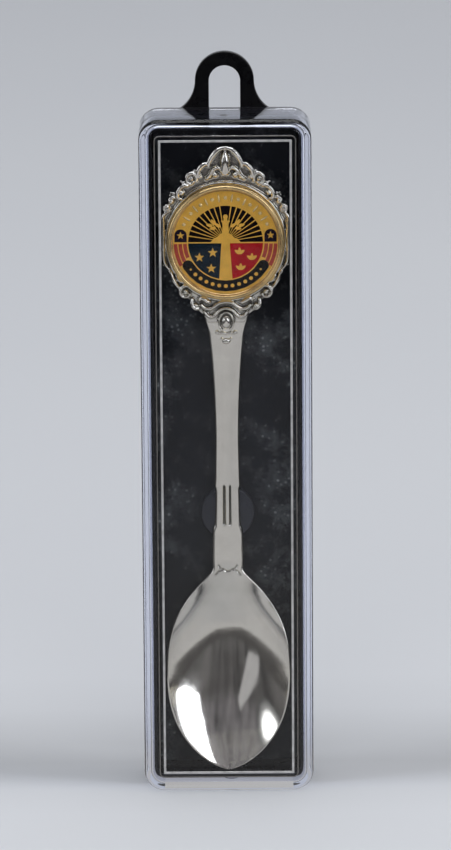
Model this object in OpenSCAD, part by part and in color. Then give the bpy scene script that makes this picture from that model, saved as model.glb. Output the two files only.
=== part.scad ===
// Souvenir spoon in its clear display case.
// X runs across the case, -Y out of its front and +Z up. The origin is on the surface that the case
// stands on, at the middle of its width and of its depth. Depths are measured back from the front.

/* [Case] */
// Outside width of the clear lid
case_w = 32; // [31.5:0.5:36]
// Outside height of the clear lid
case_h = 129.5; // [129:0.5:140]
// Depth of the clear lid, front to back
lid_d = 13; // [13:0.25:16]
// Thickness of the lid's side walls
lid_wall = 1.25; // [1:0.05:1.4]
// Thickness of the lid's front window
window_t = 1.2; // [0.8:0.1:1.4]
// Rounding of the lid's front edges
edge_r = 1.2; // [0.8:0.1:1.2]
// Corner radius of the lid, seen from the front
case_r = 3.8; // [3:0.1:5]
// Thickness of the black tray's floor and of its hang loop
floor_t = 1.5; // [1.2:0.1:2.5]
// Height of the tray's wall inside the lid
tray_wall_h = 8; // [5:0.5:8.5]

/* [Window frame rib] */
// Distance of the rib's outer edge from the lid's edge
rib_inset = 2.9; // [2.5:0.1:3.2]
// Width of the rib
rib_w = 0.9; // [0.5:0.1:1.2]
// Height of the rib over the window
rib_h = 0.35; // [0.2:0.05:0.5]

/* [Hang loop] */
// Outer radius of the loop
loop_r = 5.5; // [5:0.1:6]
// Radius of the peg slot's round top
slot_r = 3.1; // [2.5:0.1:3.4]
// Height of the slot's centre above the lid's top
loop_rise = 5; // [4.8:0.1:6]

/* [Spoon] */
// Height of the bowl's tip above the surface
tip_z = 3.6; // [3.2:0.1:4]
// Greatest half width of the bowl
bowl_half_w = 11.9; // [11:0.1:12.5]
// Depth of the bowl's inside, below its rim
bowl_dish = 4.1; // [3.5:0.1:4.2]
// Thickness of the bowl's shell
bowl_t = 0.9; // [0.7:0.1:1]
// Thickness of the handle at its centre
handle_t = 1.9; // [1.6:0.1:1.9]
// Height of the medallion's centre above the surface
medal_z = 105.6; // [105:0.1:106]

/* [Medallion] */
// Outer radius of the gilt cup
cup_r = 10.9; // [10.4:0.1:11.2]
// Radial thickness of the cup's rim
cup_rim = 0.86; // [0.7:0.02:1]
// Depth of the enamel cells
cell_t = 0.15; // [0.1:0.05:0.25]
// Height of the clear dome's crown over its edge
dome_h = 0.75; // [0.4:0.05:1]

/* [Hidden] */
$fn = 64;

total_d = lid_d + floor_t;
lid_gap = 0.12;        // running clearance between the lid and the tray, on each side
tray_wall_t = 1;
tray_inset = lid_wall + lid_gap;
tray_r = case_r - tray_inset;
card_t = 0.8;
card_gap = 0.15;
card_front = lid_d - card_t;
snap_depth = 6.5;      // depth of the snap bumps and of their dimples
snap_r = 3;            // radius of a bump's ball, which stands out by snap_h
snap_h = 0.08;

// The loop's foot spreads into the tray's top edge along a quarter circle.
flare_r = 6.4;
slot_bottom = 0.4;     // the slot's flat end, above the tray's top edge

// Spoon: knots are [height, value] pairs that a smooth curve passes through.
bowl_mid_z = 22.8;
dish_mid_z = 29.8;     // height of the bowl's deepest point, nearer to the handle than to the tip
bowl_end_z = 42.3;
neck_z = 43.3;
line_knots = [[3.6, 2.7], [13, 4.5], [23, 5.9], [33, 7.15], [42, 8.05], [49, 8.4], [56, 8.35],
              [66, 7.85], [76, 7.15], [84, 6.55], [89, 6.2], [92, 6.1], [98, 6.2]];
half_knots = [[36, 2.6], [41, 2.9], [44.7, 2.9], [48.2, 2.72], [49.4, 2.62], [50.6, 2.36], [52.4, 2.16],
              [57, 2.04], [58.8, 2.2], [62.3, 2.13], [68.2, 2.08], [73.9, 2.22], [78.5, 2.43], [83, 2.7],
              [86.3, 3], [88.5, 3.3], [90.6, 4], [92.7, 4.6], [98.7, 6]];
loft_end_z = 98;
head_t = 1.9;
head_depth = 6;        // depth of the head's front face at the medallion's centre
scroll_h = 0.5;        // height of the cast scroll bosses over the head
// Outline of the head, right half from the top down: [x, height over the medallion's centre]
head_outline = [[0, 18.4], [1.4, 18], [2.5, 17], [3.3, 15.5], [4.8, 14.9], [5.6, 13.7], [7, 12.9], [7.8, 11.8],
                [8.8, 11], [9.5, 9.8], [10.5, 9.3], [11.1, 8], [11.4, 6.3], [12, 5.3], [12, -4.3], [11.6, -4.8],
                [10.8, -5.9], [10.1, -7.5], [9.1, -9.3], [6.8, -11.2], [6.4, -12.7], [5.3, -13.3], [4.2, -14.3], [3.2, -15.8]];
// Cast scroll bosses round the head, right half: [x, height over the medallion's centre, radius]
scrolls = [[2.6, 14.1, 1.3], [5.6, 12.3, 1.2], [8.1, 9.9, 1.1], [9.9, 7.8, 1], [11.1, 5.5, 0.9],
           [10.9, -4.9, 0.8], [8.1, -9.3, 1.2], [5.6, -12.1, 1]];
crest_y = 16.1;        // pearl at the top of the crest
crest_r = 1.1;
cabochon_y = -15.6;    // oval jewel at the top of the handle
cabochon_r = 1.55;

// Medallion, measured from its centre out of the head's front face
adhesive_t = 0.15;
cup_floor = 0.4;
plate_t = 0.5;
emblem_r = cup_r - cup_rim - 0.05;
fan_r = 7.1;
line_w = 0.22;         // width of the gold lines between enamel cells
tower_top_y = 4;
tower_top_w = 1;
tower_foot_w = 2.5;
post_z = 52;
post_r = 5.1;
dot_t = 0.3;

function y_at(depth) = depth - total_d / 2;

// Smooth curve through knots, with the slope at each knot taken from its neighbours.
function slope(k, i) = let (a = max(i - 1, 0), b = min(i + 1, len(k) - 1)) (k[b][1] - k[a][1]) / (k[b][0] - k[a][0]);
function span(k, z, i = 0) = (i >= len(k) - 2 || z < k[i + 1][0]) ? i : span(k, z, i + 1);
function curve(k, z) =
    let (i = span(k, z), h = k[i + 1][0] - k[i][0], t = min(1, max(0, (z - k[i][0]) / h)))
    (1 + 2 * t) * pow(1 - t, 2) * k[i][1] + t * pow(1 - t, 2) * h * slope(k, i)
    + t * t * (3 - 2 * t) * k[i + 1][1] + t * t * (t - 1) * h * slope(k, i + 1);

// ---- Case ----

module rounded_rect(w, h, r) {
    square([w - 2 * r, h], center = true);
    square([w, h - 2 * r], center = true);
    for (sx = [-1, 1], sz = [-1, 1])
        translate([sx * (w / 2 - r), sz * (h / 2 - r)]) circle(r);
}

// Extrudes a front-view outline, centred on the lid, from one depth back to another.
module slab(from, to) {
    translate([0, y_at(to), case_h / 2]) rotate([90, 0, 0]) linear_extrude(to - from) children();
}

// Section of the lid from its window (low first coordinate) to its open back, with two rounded edges.
module depth_profile(width) {
    from = y_at(rib_h);
    translate([from + edge_r, -width / 2]) square([lid_d - rib_h - edge_r, width]);
    translate([from, -width / 2 + edge_r]) square([lid_d - rib_h, width - 2 * edge_r]);
    for (side = [-1, 1]) translate([from + edge_r, side * (width / 2 - edge_r)]) circle(edge_r);
}

module case_lid() color([0.85, 0.88, 0.92, 0.35]) {
    difference() {
        union() {
            intersection() {
                slab(rib_h, lid_d) rounded_rect(case_w, case_h, case_r);
                translate([-case_w, 0, case_h / 2]) rotate([90, 0, 90]) linear_extrude(2 * case_w) depth_profile(case_h);
                linear_extrude(case_h) rotate(-90) mirror([1, 0]) depth_profile(case_w);
            }
            slab(0, rib_h + 0.2) difference() {
                square([case_w - 2 * rib_inset, case_h - 2 * rib_inset], center = true);
                square([case_w - 2 * (rib_inset + rib_w), case_h - 2 * (rib_inset + rib_w)], center = true);
            }
        }
        slab(rib_h + window_t, lid_d + 1) rounded_rect(case_w - 2 * lid_wall, case_h - 2 * lid_wall, case_r - lid_wall);
        // dimples that take the tray's snap bumps
        for (z = [lid_wall - 0.25 + snap_r, case_h - lid_wall + 0.25 - snap_r])
            translate([0, y_at(snap_depth), z]) sphere(snap_r);
    }
}

// Front view of the hang loop, from the tray's top edge up.
module loop_outline() {
    top = case_h / 2 - tray_inset;
    mid = case_h / 2 + loop_rise;
    arc = [for (a = [0:7.5:180]) [loop_r * cos(a), mid + loop_r * sin(a)]];
    foot = [for (a = [0:7.5:82.5]) [loop_r + flare_r * (1 - cos(a)), top + flare_r * (1 - sin(a))]];
    left_foot = [for (i = [0:len(foot) - 1]) [-foot[i][0], foot[i][1]]];
    right_foot = [for (i = [len(foot) - 1:-1:0]) foot[i]];
    base = tray_r + 0.5;
    difference() {
        polygon(concat(arc, left_foot, [[-base * 4, top - base], [base * 4, top - base]], right_foot));
        translate([0, mid]) circle(slot_r);
        translate([-slot_r, top + slot_bottom]) square([2 * slot_r, mid - top - slot_bottom]);
    }
}

module case_tray() color([0.05, 0.05, 0.06]) {
    w = case_w - 2 * tray_inset;
    h = case_h - 2 * tray_inset;
    inner = tray_r - tray_wall_t;
    union() {
        slab(lid_d, total_d) union() {
            rounded_rect(w, h, tray_r);
            loop_outline();
        }
        slab(lid_d - tray_wall_h, lid_d) difference() {
            rounded_rect(w, h, tray_r);
            rounded_rect(w - 2 * tray_wall_t, h - 2 * tray_wall_t, inner);
        }
        // snap bumps in the middle of the short walls
        for (top = [0, 1])
            translate([0, y_at(snap_depth), top ? case_h - tray_inset : tray_inset])
                mirror([0, 0, top]) intersection() {
                    translate([0, 0, snap_r - snap_h]) sphere(snap_r);
                    translate([-1.5, -1, -snap_h]) cube([3, 2, snap_h + tray_wall_t / 2]);
                }
    }
}

module backing_card() color([0.08, 0.08, 0.09]) {
    inset = tray_inset + tray_wall_t + card_gap;
    slab(card_front, lid_d) rounded_rect(case_w - 2 * inset, case_h - 2 * inset, 1.2);
}

// Depth of the adhesive dot's face, just behind the handle's back.
post_front = max([for (z = [post_z - post_r:0.5:post_z + post_r]) curve(line_knots, z)]) + handle_t + 0.08;

module foam_post() color([0.12, 0.12, 0.13])
    translate([0, y_at(card_front), post_z]) rotate([90, 0, 0])
        cylinder(h = card_front - post_front - dot_t, r = post_r);

module adhesive_dot() color([0.6, 0.62, 0.65, 0.6])
    translate([0, y_at(post_front + dot_t), post_z]) rotate([90, 0, 0]) cylinder(h = dot_t, r = post_r - 0.1);

// ---- Spoon ----

// Half width of the bowl alone: a blunt oval, fuller towards the handle.
function bowl_half(z) =
    z < bowl_mid_z
        ? bowl_half_w * pow(1 - pow((bowl_mid_z - z) / (bowl_mid_z - tip_z), 2.5), 0.65)
        : z < bowl_end_z ? bowl_half_w * pow(1 - pow((z - bowl_mid_z) / (bowl_end_z - bowl_mid_z), 2.3), 0.8) : 0;
// The bowl's outline runs into the handle's in a rounded shoulder.
function half_width(z) =
    z < 36 ? bowl_half(z) : pow(pow(bowl_half(z), 4) + pow(curve(half_knots, z), 4), 0.25);
function dish(z) =
    z < dish_mid_z
        ? bowl_dish * (1 - pow((dish_mid_z - z) / (dish_mid_z - tip_z), 2))
        : z < neck_z ? bowl_dish * pow(1 - pow((z - dish_mid_z) / (neck_z - dish_mid_z), 2), 2) : 0;
function in_handle(z) = min(1, max(0, (z - 34) / 12));
function thickness(z) = bowl_t + (handle_t - bowl_t) * in_handle(z) - (z > 88 ? 0.15 : 0);
// Across the spoon, u runs from -1 to 1: the bowl is hollow and the handle is crowned.
function front_depth(u, z) = curve(line_knots, z) + dish(z) * (1 - u * u) + 0.4 * in_handle(z) * u * u + (z > 88 ? 0.1 : 0);
function back_depth(u, z) = curve(line_knots, z) + thickness(z) + dish(z) * (1 - u * u) - 0.3 * in_handle(z) * u * u;

across = 12;
stations = concat([for (i = [0:5]) tip_z + 0.08 * pow(2, i)], [for (z = [7.7:1.4:46]) z], [for (z = [47:1.3:94]) z], [96, loft_end_z]);

module bowl_and_handle() {
    us = [for (i = [0:across]) sin(-90 + 180 * i / across)];
    ring = 2 * (across + 1);
    points = [for (z = stations, i = [0:ring - 1])
        i <= across
            ? [us[i] * half_width(z), y_at(front_depth(us[i], z)), z]
            : [us[ring - 1 - i] * half_width(z), y_at(back_depth(us[ring - 1 - i], z)), z]];
    last = len(stations) - 1;
    sides = [for (s = [0:last - 1], i = [0:ring - 1], half = [0, 1])
        let (a = s * ring + i, b = s * ring + (i + 1) % ring)
        half == 0 ? [a, a + ring, b] : [b, a + ring, b + ring]];
    start = [for (i = [0:ring - 1]) i];
    end = [for (i = [ring - 1:-1:0]) last * ring + i];
    polyhedron(points, concat(sides, [start, end]), convexity = 6);
}

// Drawn on the head: X across, Y up the head and Z out of its front, with Z = 0 on its front face.
module on_head() {
    translate([0, y_at(head_depth), medal_z]) rotate([90, 0, 0]) children();
}

module head_plate() on_head() {
    left_outline = [for (i = [len(head_outline) - 1:-1:1]) [-head_outline[i][0], head_outline[i][1]]];
    translate([0, 0, -head_t]) linear_extrude(head_t) polygon(concat(head_outline, left_outline));
    for (s = scrolls, side = [-1, 1])
        translate([side * s[0], s[1], -head_t]) cylinder(h = head_t + scroll_h, r = s[2]);
    translate([0, crest_y, -head_t]) cylinder(h = head_t + scroll_h, r = crest_r);
    translate([0, cabochon_y, -1]) cylinder(h = 1 + scroll_h, r = cabochon_r);
}

module spoon() color([0.8, 0.79, 0.77]) union() {
    bowl_and_handle();
    head_plate();
}

// ---- Medallion ----

module layer(from, to) on_head() translate([0, 0, from]) linear_extrude(to - from) children();

cup_z = adhesive_t;
plate_z = cup_z + cup_floor;
face_z = plate_z + plate_t;
cell_z = face_z - cell_t;

module medallion_adhesive() color([0.85, 0.83, 0.75]) layer(0, adhesive_t) circle(cup_r - 1.2);

module medallion_cup() color([0.83, 0.62, 0.22]) on_head() {
    lip = cup_rim / 2;
    wall_top = face_z + 0.45;
    rotate_extrude() {
        translate([0, cup_z]) square([cup_r - 0.1, cup_floor]);
        translate([cup_r - cup_rim, cup_z]) square([cup_rim, wall_top - cup_z]);
        translate([cup_r - lip, wall_top]) circle(lip, $fn = 32);
    }
}

// Outline of the lower or the upper half of a disc, kept clear of the dividing line.
module half_disc(r, up) intersection() {
    circle(r);
    translate([-r, up ? line_w / 2 : -r - line_w / 2]) square([2 * r, r]);
}

module ring_sector(r_in, r_out, from, to) {
    steps = 10;
    function arc(r, a, b) = [for (i = [0:steps]) let (t = a + (b - a) * i / steps) [r * cos(t), r * sin(t)]];
    polygon(concat(arc(r_out, from, to), arc(r_in, to, from)));
}

module star(r, points = 5) {
    polygon([for (i = [0:2 * points - 1]) let (a = 90 + 180 * i / points, q = i % 2 ? r * 0.42 : r) [q * cos(a), q * sin(a)]]);
}

module leaf(l) {
    polygon([for (i = [0:11]) let (a = 30 * i) [l * 0.5 * sin(a) * (1 - 0.3 * cos(a)), l * cos(a)]]);
}

// A lighthouse on a mound of rocks stands in front of the rising sun's rays.
module tower() {
    polygon([[-tower_foot_w / 2, -fan_r], [tower_foot_w / 2, -fan_r], [tower_top_w / 2, tower_top_y],
             [-tower_top_w / 2, tower_top_y]]);
    translate([-0.8, tower_top_y - 0.1]) square([1.6, 0.3]);
    translate([-0.35, tower_top_y + 0.1]) square([0.7, 0.8]);
    translate([0, tower_top_y + 0.9]) circle(0.45);
}

module rays() {
    for (a = [9:9:171])
        if (abs(a - 90) > 5)
            translate([0, 0.2]) rotate(a)
                polygon([[1.5, -0.05], [2 * fan_r, -0.2], [2 * fan_r, 0.2], [1.5, 0.05]]);
}

module rocks() {
    polygon([[-2.9, 0], [2.9, 0], [2.3, 0.7], [1.6, 0.9], [1.1, 1.6], [-1, 1.7], [-1.5, 1.1], [-2.2, 0.8]]);
}

// A sprig of leaves on each side of the lamp.
module sprigs() {
    for (side = [-1, 1], l = [[1.5, 3.3, 60], [2.3, 3.9, 35], [3, 3.3, 75], [2.4, 2.7, 100]])
        translate([side * l[0], l[1]]) rotate(-side * l[2]) leaf(0.62);
}

module fan_cells() difference() {
    half_disc(fan_r - line_w / 2, true);
    rays();
    tower();
    rocks();
    sprigs();
}

module blue_cells() difference() {
    intersection() {
        half_disc(fan_r - line_w / 2, false);
        translate([-fan_r, -fan_r]) square([fan_r - line_w / 2, fan_r]);
    }
    tower();
    for (p = [[-4.9, -2.8], [-2.4, -1.9], [-2.7, -4.9]]) translate(p) star(0.95);
}

module red_cells() difference() {
    intersection() {
        half_disc(fan_r - line_w / 2, false);
        translate([line_w / 2, -fan_r]) square([fan_r, fan_r]);
    }
    tower();
    for (p = [[2.6, -1.7], [4.9, -2.8], [2.8, -4.7]], turn = [-55, 0, 55])
        translate([p[0], p[1] - 0.35]) rotate(turn) translate([0, 0.5]) leaf(0.62);
}

// Three stripes on each side, along the rim.
module side_band_cells() {
    for (side = [0, 1], i = [0:2])
        mirror([side, 0]) ring_sector(fan_r + 0.15 + 0.88 * i, fan_r + 0.85 + 0.88 * i, -1.5, -22 - 3 * i);
}

module roundel_cells() difference() {
    for (side = [-1, 1]) translate([side * 8.4, 0]) {
        translate([0, 1.4]) circle(1.15);
        translate([-1.15, line_w / 2]) square([2.3, 1.4 - line_w / 2]);
    }
    for (side = [-1, 1]) translate([side * 8.4, 1.35]) star(0.75);
}

// A ribbon with round ends, along the foot of the rim, with a row of beads on it.
ribbon_r = 8.28;
ribbon_w = 2.1;
ribbon_end = 32;

module ribbon_cells() difference() {
    union() {
        ring_sector(ribbon_r - ribbon_w / 2, ribbon_r + ribbon_w / 2, ribbon_end - 180, -ribbon_end);
        for (a = [ribbon_end - 180, -ribbon_end]) rotate(a) translate([ribbon_r, 0]) circle(ribbon_w / 2);
    }
    for (a = [-142:8.667:-37]) rotate(a) translate([ribbon_r, 0]) circle(a < -141 || a > -39 ? 0.2 : 0.36, $fn = 16);
}

module all_cells() {
    fan_cells();
    blue_cells();
    red_cells();
    side_band_cells();
    roundel_cells();
    ribbon_cells();
}

module emblem_plate() color([0.85, 0.65, 0.25]) on_head() difference() {
    translate([0, 0, plate_z]) cylinder(h = plate_t, r = emblem_r);
    translate([0, 0, cell_z]) linear_extrude(1) all_cells();
}

module enamel_night_fan() color([0.03, 0.02, 0.03]) layer(cell_z, face_z) fan_cells();
module enamel_blue_field() color([0.03, 0.12, 0.2]) layer(cell_z, face_z) blue_cells();
module enamel_red_field() color([0.7, 0.08, 0.08]) layer(cell_z, face_z) red_cells();
module enamel_side_bands() color([0.75, 0.25, 0.18]) layer(cell_z, face_z) side_band_cells();
module enamel_roundels() color([0.15, 0.12, 0.22]) layer(cell_z, face_z) roundel_cells();
module enamel_ribbon() color([0.08, 0.08, 0.06]) layer(cell_z, face_z) ribbon_cells();

// A clear lens with a short upright edge and a crown that is part of a large ball.
module epoxy_dome() color([0.95, 0.95, 0.95, 0.3]) on_head() {
    edge = 0.2;
    ball = (emblem_r * emblem_r + dome_h * dome_h) / (2 * dome_h);
    translate([0, 0, face_z]) rotate_extrude() intersection() {
        square([emblem_r, edge + dome_h + 1]);
        translate([0, edge + dome_h - ball]) circle(ball, $fn = 720);
    }
}

case_lid();
case_tray();
backing_card();
foam_post();
adhesive_dot();
spoon();
medallion_adhesive();
medallion_cup();
emblem_plate();
enamel_night_fan();
enamel_blue_field();
enamel_red_field();
enamel_side_bands();
enamel_roundels();
enamel_ribbon();
epoxy_dome();
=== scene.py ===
"""Looks for the souvenir spoon in its clear case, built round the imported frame."""
import math

import bmesh
import bpy
from mathutils import Matrix, Vector


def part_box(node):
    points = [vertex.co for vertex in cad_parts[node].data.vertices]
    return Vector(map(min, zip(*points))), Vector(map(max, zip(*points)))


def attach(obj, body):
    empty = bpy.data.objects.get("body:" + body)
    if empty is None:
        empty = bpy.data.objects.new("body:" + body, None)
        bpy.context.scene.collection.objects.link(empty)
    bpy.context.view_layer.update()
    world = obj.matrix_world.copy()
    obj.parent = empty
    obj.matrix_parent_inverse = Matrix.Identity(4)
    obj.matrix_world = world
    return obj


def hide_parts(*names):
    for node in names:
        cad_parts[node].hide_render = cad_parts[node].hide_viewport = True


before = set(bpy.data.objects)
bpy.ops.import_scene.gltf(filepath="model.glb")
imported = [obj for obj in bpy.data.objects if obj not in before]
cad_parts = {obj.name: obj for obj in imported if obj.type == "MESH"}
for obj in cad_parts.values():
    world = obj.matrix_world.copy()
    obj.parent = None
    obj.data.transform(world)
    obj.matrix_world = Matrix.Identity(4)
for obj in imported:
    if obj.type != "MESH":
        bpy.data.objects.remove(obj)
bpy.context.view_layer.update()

MM = 0.001

# ---------------------------------------------------------------- frame sizes, in mm


def box_mm(node):
    lo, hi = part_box(node)
    return lo / MM, hi / MM


LID_LO, LID_HI = box_mm("case_lid")
TRAY_HI = box_mm("case_tray")[1]
CUP_LO, CUP_HI = box_mm("medallion_cup")
SPOON_LO = box_mm("spoon")[0]
PLATE_LO = box_mm("emblem_plate")[0]
POST_LO, POST_HI = box_mm("foam_post")
DOT_LO, DOT_HI = box_mm("adhesive_dot")
FRONT = LID_LO.y                      # depths are measured back from here
HALF_W = LID_HI.x
CASE_H = LID_HI.z
LID_DEPTH = LID_HI.y - FRONT
TOTAL_DEPTH = TRAY_HI.y - FRONT
CORNER_R = 3.8
RIB_H = 0.35
LID_WALL = 1.25
WINDOW_T = 1.2
TRAY_INSET = HALF_W - TRAY_HI.x
MEDAL_Z = (CUP_LO.z + CUP_HI.z) / 2
CUP_R = (CUP_HI.x - CUP_LO.x) / 2
ADHESIVE_T = 0.15
FACE_Y = CUP_HI.y + ADHESIVE_T        # the head's front face
EMBLEM_FACE_Y = PLATE_LO.y

# ---------------------------------------------------------------- mesh helpers


def mesh_from(name, verts_mm, faces, smooth=True, sharp_deg=35):
    mesh = bpy.data.meshes.new(name)
    mesh.from_pydata([(x * MM, y * MM, z * MM) for x, y, z in verts_mm], [], faces)
    mesh.validate()
    bm = bmesh.new()
    bm.from_mesh(mesh)
    bmesh.ops.recalc_face_normals(bm, faces=bm.faces)
    bm.to_mesh(mesh)
    bm.free()
    if smooth:
        mesh.shade_smooth()
        if sharp_deg:
            mesh.set_sharp_from_angle(angle=math.radians(sharp_deg))
    obj = bpy.data.objects.new(name, mesh)
    bpy.context.scene.collection.objects.link(obj)
    return obj


def finish_piece(obj, body, material, replaces=()):
    obj.data.materials.clear()
    obj.data.materials.append(material)
    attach(obj, body)
    if replaces:
        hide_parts(*replaces)
    return obj


def rounded_ring(half_x, half_z, radius, steps=8):
    """Points of a rounded rectangle round (0, 0), the same number whatever the radius."""
    points = []
    for corner, (sx, sz) in enumerate(((1, 1), (-1, 1), (-1, -1), (1, -1))):
        for i in range(steps + 1):
            a = math.radians(90 * corner + 90 * i / steps)
            points.append((sx * (half_x - radius) + radius * math.cos(a),
                           sz * (half_z - radius) + radius * math.sin(a)))
    return points


def stack_rings(rings, close_first=True, close_last=True):
    """Verts and faces of rings with equal counts, joined in order."""
    count = len(rings[0])
    verts = [p for ring in rings for p in ring]
    faces = []
    for r in range(len(rings) - 1):
        for i in range(count):
            j = (i + 1) % count
            faces.append((r * count + i, r * count + j, (r + 1) * count + j, (r + 1) * count + i))
    if close_first:
        faces.append(tuple(reversed(range(count))))
    if close_last:
        base = (len(rings) - 1) * count
        faces.append(tuple(range(base, base + count)))
    return verts, faces


def case_rings(profile, smallest=0.1, steps=8):
    """Rings of a case shell from [(inset from the lid's outline, depth)]."""
    rings = []
    for inset, depth in profile:
        ring = rounded_ring(HALF_W - inset, CASE_H / 2 - inset, max(CORNER_R - inset, smallest), steps)
        rings.append([(x, FRONT + depth, z + CASE_H / 2) for x, z in ring])
    return rings


def quarter_arc(inset, depth, radius, steps=5):
    """Profile points that round a front edge: from the side wall to the window."""
    return [(inset + radius * (1 - math.cos(math.radians(90 * i / steps))),
             depth + radius * (1 - math.sin(math.radians(90 * i / steps)))) for i in range(steps + 1)]


def curve(knots, z):
    """The smooth curve through knots that part.scad draws too."""
    i = 0
    while i < len(knots) - 2 and z >= knots[i + 1][0]:
        i += 1

    def slope(k):
        a, b = max(k - 1, 0), min(k + 1, len(knots) - 1)
        return (knots[b][1] - knots[a][1]) / (knots[b][0] - knots[a][0])

    h = knots[i + 1][0] - knots[i][0]
    t = min(1, max(0, (z - knots[i][0]) / h))
    return ((1 + 2 * t) * (1 - t) ** 2 * knots[i][1] + t * (1 - t) ** 2 * h * slope(i)
            + t * t * (3 - 2 * t) * knots[i + 1][1] + t * t * (t - 1) * h * slope(i + 1))


def smoothstep(a, b, x):
    t = min(1, max(0, (x - a) / (b - a)))
    return t * t * (3 - 2 * t)


def spline(points, per=8):
    """Catmull-Rom points through control points of any dimension."""
    out = []
    n = len(points)
    for i in range(n - 1):
        p0, p1, p2, p3 = (points[max(i - 1, 0)], points[i], points[i + 1], points[min(i + 2, n - 1)])
        for s in range(per):
            t = s / per
            out.append(tuple(0.5 * (2 * b + (c - a) * t + (2 * a - 5 * b + 4 * c - d) * t * t
                                    + (3 * b - a - 3 * c + d) * t ** 3)
                             for a, b, c, d in zip(p0, p1, p2, p3)))
    out.append(tuple(points[-1]))
    return out


def tube(points, sides=10, squash=1.0):
    """A closed tube along (x, y, z, radius) points in mm; squash flattens it along Y."""
    rings = []
    for i, p in enumerate(points):
        a = Vector(points[max(i - 1, 0)][:3])
        b = Vector(points[min(i + 1, len(points) - 1)][:3])
        along = (b - a).normalized()
        side = along.cross(Vector((0, 1, 0)))
        side = side.normalized() if side.length > 1e-6 else Vector((1, 0, 0))
        out = side.cross(along).normalized()
        ring = []
        for k in range(sides):
            t = 2 * math.pi * k / sides
            q = Vector(p[:3]) + side * math.cos(t) * p[3] + out * math.sin(t) * p[3] * squash
            ring.append(tuple(q))
        rings.append(ring)
    return stack_rings(rings)


def ball(centre, radii, rows=8, cols=14):
    rings = []
    for r in range(1, rows):
        a = math.pi * r / rows
        rings.append([(centre[0] + radii[0] * math.sin(a) * math.cos(2 * math.pi * c / cols),
                       centre[1] - radii[1] * math.cos(a),
                       centre[2] + radii[2] * math.sin(a) * math.sin(2 * math.pi * c / cols))
                      for c in range(cols)])
    return stack_rings(rings)


def turned(name, profile, centre, segments=96, sharp_deg=35):
    """A lathe object whose profile starts and ends on the axis."""
    verts, faces = [], []
    inner = profile[1:-1]
    n = len(inner)
    for s in range(segments):
        a = 2 * math.pi * s / segments
        verts += [(centre[0] + r * math.cos(a), y, centre[2] + r * math.sin(a)) for r, y in inner]
    first, last = len(verts), len(verts) + 1
    verts += [(centre[0], profile[0][1], centre[2]), (centre[0], profile[-1][1], centre[2])]
    for s in range(segments):
        t = (s + 1) % segments
        faces += [(s * n + i, s * n + i + 1, t * n + i + 1, t * n + i) for i in range(n - 1)]
        faces.append((first, s * n, t * n))
        faces.append((last, t * n + n - 1, s * n + n - 1))
    return mesh_from(name, verts, faces, sharp_deg=sharp_deg)


class Soup:
    """Collects overlapping closed shells."""

    def __init__(self):
        self.verts, self.faces = [], []

    def add(self, shell):
        base = len(self.verts)
        self.verts += shell[0]
        self.faces += [tuple(base + i for i in f) for f in shell[1]]


# ---------------------------------------------------------------- material helpers

def grey(v):
    return (v, v, v, 1)


# Painted reflection: seen in reflections, the floor in front of the object glows as a strip in place of the
# lit tabletop, its brightness set by distance along it, in metres, in the window and in the metal. STRIP
# gives its centre in x and how fast it ends sideways and to the front.
STRIP = (0.015, 2.9, 0.85)
# Painted shadow: the soft dark band on the floor just behind the object, where the side lamps' shadow falls,
# by distance from 20 mm in front to 70 mm behind.
PAINTED_SHADOW_BAND = [(0.0, grey(1.04)), (0.17, grey(0.98)), (0.36, grey(0.76)), (0.5, grey(0.78)),
              (0.75, grey(0.94)), (1.0, grey(1))]
WINDOW_SEES = [(0.0, (0.5, 0.49, 0.475)), (0.13, (0.4, 0.39, 0.37)), (0.2, (0.22, 0.22, 0.225)),
               (0.27, (0.07, 0.07, 0.08)), (0.36, (0.0, 0.0, 0.0))]
METAL_SEES = [(0.0, (0.46, 0.455, 0.44)), (0.2, (0.54, 0.52, 0.49)), (0.46, (0.6, 0.58, 0.54)),
              (0.52, (0.14, 0.13, 0.12)), (0.8, (0.06, 0.055, 0.05))]


def new_material(name):
    mat = bpy.data.materials.new(name)
    mat.use_nodes = True
    nodes, links = mat.node_tree.nodes, mat.node_tree.links
    shader = nodes["Principled BSDF"]
    return mat, nodes, links, shader


def object_coords(nodes, links, scale=1.0):
    coords = nodes.new("ShaderNodeTexCoord")
    mapping = nodes.new("ShaderNodeMapping")
    mapping.inputs["Scale"].default_value = (scale, scale, scale)
    links.new(coords.outputs["Object"], mapping.inputs["Vector"])
    return mapping.outputs["Vector"]


def noise(nodes, links, vector, scale, detail=4.0, roughness=0.55):
    node = nodes.new("ShaderNodeTexNoise")
    node.inputs["Scale"].default_value = scale
    node.inputs["Detail"].default_value = detail
    node.inputs["Roughness"].default_value = roughness
    links.new(vector, node.inputs["Vector"])
    return node.outputs["Fac"]


def ramp(nodes, links, value, stops):
    node = nodes.new("ShaderNodeValToRGB")
    points = node.color_ramp.elements
    while len(points) < len(stops):
        points.new(0.5)
    for point, (at, colour) in zip(points, stops):
        point.position = at
        point.color = colour if len(colour) == 4 else (*colour, 1)
    links.new(value, node.inputs["Fac"])
    return node.outputs["Color"]


def bump(nodes, links, shader, height, strength, distance):
    node = nodes.new("ShaderNodeBump")
    node.inputs["Strength"].default_value = strength
    node.inputs["Distance"].default_value = distance
    links.new(height, node.inputs["Height"])
    links.new(node.outputs["Normal"], shader.inputs["Normal"])
    return node


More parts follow.
